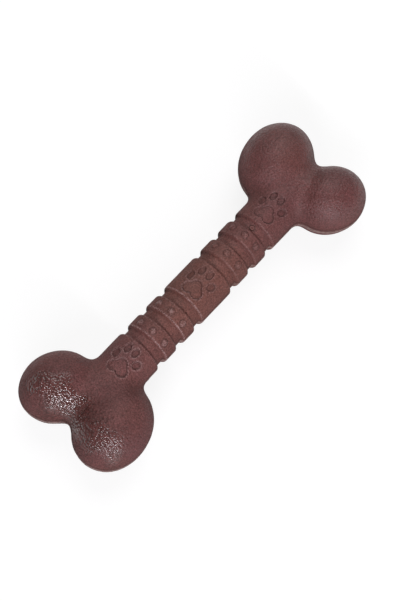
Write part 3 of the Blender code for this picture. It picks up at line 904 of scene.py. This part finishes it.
def rubber_relief(tree, place, from_middle, wet, speckle, cell):
    """Low domes of grain, deeper on the knobs and where wet, with finer grain over them."""
    cloudy = span(tree, wet, *WET_CLOUD_SPAN)
    dome = times(tree, times(tree, cell, cell), -1.0)
    grain = maths(tree, "ADD", dome, times(tree, clouds(tree, place, *GRAIN_CLOUDS), cloudy))
    deeper = times(tree, span(tree, wet, *WET_GRAIN_SPAN), span(tree, from_middle, *KNOB_GRAIN_SPAN))
    coarse = bump(tree, times(tree, grain, deeper), GRAIN_DEPTH)
    return bump(tree, times(tree, speckle, cloudy), FINE_DEPTH, below=coarse)


def rubber_material():
    """Red brown rubber with a leathery grain, glossy on the polished track."""
    material, tree, shader = new_material("moulded_rubber")
    place = tree.nodes.new("ShaderNodeTexCoord").outputs["Object"]
    split = tree.nodes.new("ShaderNodeSeparateXYZ")
    link(tree, place, split.inputs["Vector"])
    along = split.outputs["X"]
    from_middle = maths(tree, "ABSOLUTE", along, 0.0)
    marks = {name: attribute(tree, name) for name in MARKS}
    speckle = clouds(tree, place, *SPECKLE_CLOUDS)
    cell = cells(tree, place, 1.0 / GRAIN_SIZE)
    # Wear that lowers roughness and is painted lighter as a highlight
    rub_and_highlight = times(tree, marks["wear_and_highlight"], span(tree, clouds(tree, place, *CHIP_CLOUDS), *CHIP_SPAN))
    handled = span(tree, split.outputs["Z"], *HANDLED_SPAN)
    glossy = times(tree, marks["gloss"], handled)
    colour = rubber_colour(tree, place, from_middle, marks, speckle, cell, rub_and_highlight)
    roughness = rubber_roughness(tree, place, along, handled, glossy, rub_and_highlight)
    relief = rubber_relief(tree, place, from_middle, marks["wet"], speckle, cell)
    link(tree, colour, shader.inputs["Base Color"])
    link(tree, roughness, shader.inputs["Roughness"])
    link(tree, relief, shader.inputs["Normal"])
    link(tree, relief, shader.inputs["Coat Normal"])
    link(tree, times(tree, glossy, COAT_WEIGHT), shader.inputs["Coat Weight"])
    shader.inputs["Coat Roughness"].default_value = COAT_ROUGH
    shader.inputs["Specular IOR Level"].default_value = SPECULAR
    return material


def plastic_material(name, colour, roughness):
    """Moulded plastic with a faint flow pattern and fine texture."""
    material, tree, shader = new_material(name)
    place = tree.nodes.new("ShaderNodeTexCoord").outputs["Object"]
    flow = clouds(tree, place, *PLASTIC_FLOW)
    darker = tuple(part * PLASTIC_DARKER for part in colour)
    stops = tuple(zip(PLASTIC_STOPS, (darker, colour)))
    low = roughness - PLASTIC_UNEVEN
    high = roughness + PLASTIC_UNEVEN
    texture = clouds(tree, place, *PLASTIC_TEXTURE)
    link(tree, ramp(tree, flow, stops), shader.inputs["Base Color"])
    link(tree, span(tree, flow, *PLASTIC_ENDS, low, high), shader.inputs["Roughness"])
    link(tree, bump(tree, texture, PLASTIC_DEPTH, PLASTIC_RELIEF), shader.inputs["Normal"])
    return material


# The half shells and the squeaker
rubber = rubber_material()
upper_shell_skin = half_shell("upper_shell_skin", 1.0)
lower_shell_skin = half_shell("lower_shell_skin", -1.0)
drill(upper_shell_skin, VENT_HOLE_RADIUS, VENT_HOLE_BOTTOM)
drill(upper_shell_skin, VENT_RING_RADIUS, VENT_RING_BOTTOM)
for skin, node in ((upper_shell_skin, "upper_shell"), (lower_shell_skin, "lower_shell")):
    skin.data.materials.clear()
    skin.data.materials.append(rubber)
    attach(skin, "root")
    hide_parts(node)

for node, (colour, roughness) in PLASTICS.items():
    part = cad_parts[node]
    part.data.materials.clear()
    part.data.materials.append(plastic_material(node + "_finish", colour, roughness))

# Floor
FLOOR_SIZE = 6.0
FLOOR_COLOUR = 0.22
FLOOR_ROUGH = 0.9
FLOOR_LIFT = 0.84


def seen_directly(tree):
    """One for rays from the camera, reflections and clear pieces, and nothing for diffuse light."""
    path = tree.nodes.new("ShaderNodeLightPath")
    direct = maths(tree, "MAXIMUM", path.outputs["Is Camera Ray"], path.outputs["Is Glossy Ray"])
    return maths(tree, "MAXIMUM", direct, path.outputs["Is Transmission Ray"])


floor_shape = bmesh.new()
bmesh.ops.create_grid(floor_shape, x_segments=1, y_segments=1, size=FLOOR_SIZE / 2.0)
floor_mesh = bpy.data.meshes.new("floor")
floor_shape.to_mesh(floor_mesh)
floor_shape.free()
floor = bpy.data.objects.new("floor", floor_mesh)
bpy.context.scene.collection.objects.link(floor)
floor_material, floor_tree, floor_shader = new_material("floor_paper")
floor_shader.inputs["Base Color"].default_value = (FLOOR_COLOUR, FLOOR_COLOUR, FLOOR_COLOUR, 1.0)
floor_shader.inputs["Roughness"].default_value = FLOOR_ROUGH
floor_shader.inputs["Specular IOR Level"].default_value = 0.0
floor_shader.inputs["Emission Color"].default_value = (1.0, 1.0, 1.0, 1.0)
lift = times(floor_tree, seen_directly(floor_tree), FLOOR_LIFT)
link(floor_tree, lift, floor_shader.inputs["Emission Strength"])
floor_mesh.materials.append(floor_material)


# Camera
def camera_axes():
    """Direction from the target to the camera, and the picture's right and up."""
    flat = math.cos(CAMERA_ELEVATION)
    level_x = flat * math.cos(CAMERA_AZIMUTH)
    level_y = flat * math.sin(CAMERA_AZIMUTH)
    back = Vector((level_x, level_y, math.sin(CAMERA_ELEVATION)))
    right = Vector((0.0, 0.0, 1.0)).cross(back).normalized()
    up = back.cross(right)
    turned_right = right * math.cos(CAMERA_ROLL) + up * math.sin(CAMERA_ROLL)
    turned_up = up * math.cos(CAMERA_ROLL) - right * math.sin(CAMERA_ROLL)
    return back, turned_right, turned_up


back, picture_right, picture_up = camera_axes()
target = Vector(CAMERA_TARGET) + Vector((0.0, 0.0, FLAT_LEVEL))
camera_data = bpy.data.cameras.new("camera")
camera_data.sensor_fit = "VERTICAL"
camera_data.angle = 2.0 * math.atan(CAMERA_HALF_HEIGHT / CAMERA_FOCUS)
camera_data.clip_start = CAMERA_NEAREST
camera = bpy.data.objects.new("camera", camera_data)
turn = Matrix((picture_right, picture_up, back)).transposed().to_4x4()
camera.matrix_world = Matrix.Translation(target + back * CAMERA_DISTANCE) @ turn
bpy.context.scene.collection.objects.link(camera)
bpy.context.scene.camera = camera

# Light
SKY_LEVEL = 0.12
COOL_LIGHT = (1.0, 0.975, 1.03)
WARM_LIGHT = (1.0, 0.985, 0.99)


def towards(back_share, up_share, right_share):
    """A direction as shares of the camera's three axes."""
    return back * back_share + picture_up * up_share + picture_right * right_share


def area_light(name, direction, along, distance, length, width, power, colour):
    """An oval soft light aimed at the toy, its length laid along a direction."""
    data = bpy.data.lights.new(name, "AREA")
    data.shape = "ELLIPSE"
    data.size = length
    data.size_y = width
    data.energy = power
    data.color = colour
    lamp = bpy.data.objects.new(name, data)
    aim = direction.normalized()
    level = (along - aim * along.dot(aim)).normalized()
    axes = Matrix((level, aim.cross(level), aim)).transposed().to_4x4()
    lamp.matrix_world = Matrix.Translation(target + aim * distance) @ axes
    bpy.context.scene.collection.objects.link(lamp)


strip_along = towards(-0.35, -0.51, 0.94)
area_light("strip_softbox", towards(0.80, -0.58, 0.02), strip_along,
           distance=1.6, length=2.0, width=0.10, power=17.5, colour=COOL_LIGHT)
area_light("corner_softbox", towards(0.50, -0.73, 0.46), strip_along,
           distance=1.6, length=0.20, width=0.16, power=5.0, colour=COOL_LIGHT)
area_light("top_softbox", towards(0.57, 0.81, 0.12), picture_right,
           distance=1.8, length=2.0, width=1.6, power=18.0, colour=WARM_LIGHT)

world = bpy.data.worlds.new("studio")
bpy.context.scene.world = world
world.use_nodes = True
sky = world.node_tree.nodes["Background"]
sky.inputs["Color"].default_value = (1.0, 1.0, 1.0, 1.0)
sky.inputs["Strength"].default_value = SKY_LEVEL
bpy.context.scene.view_settings.view_transform = "Standard"
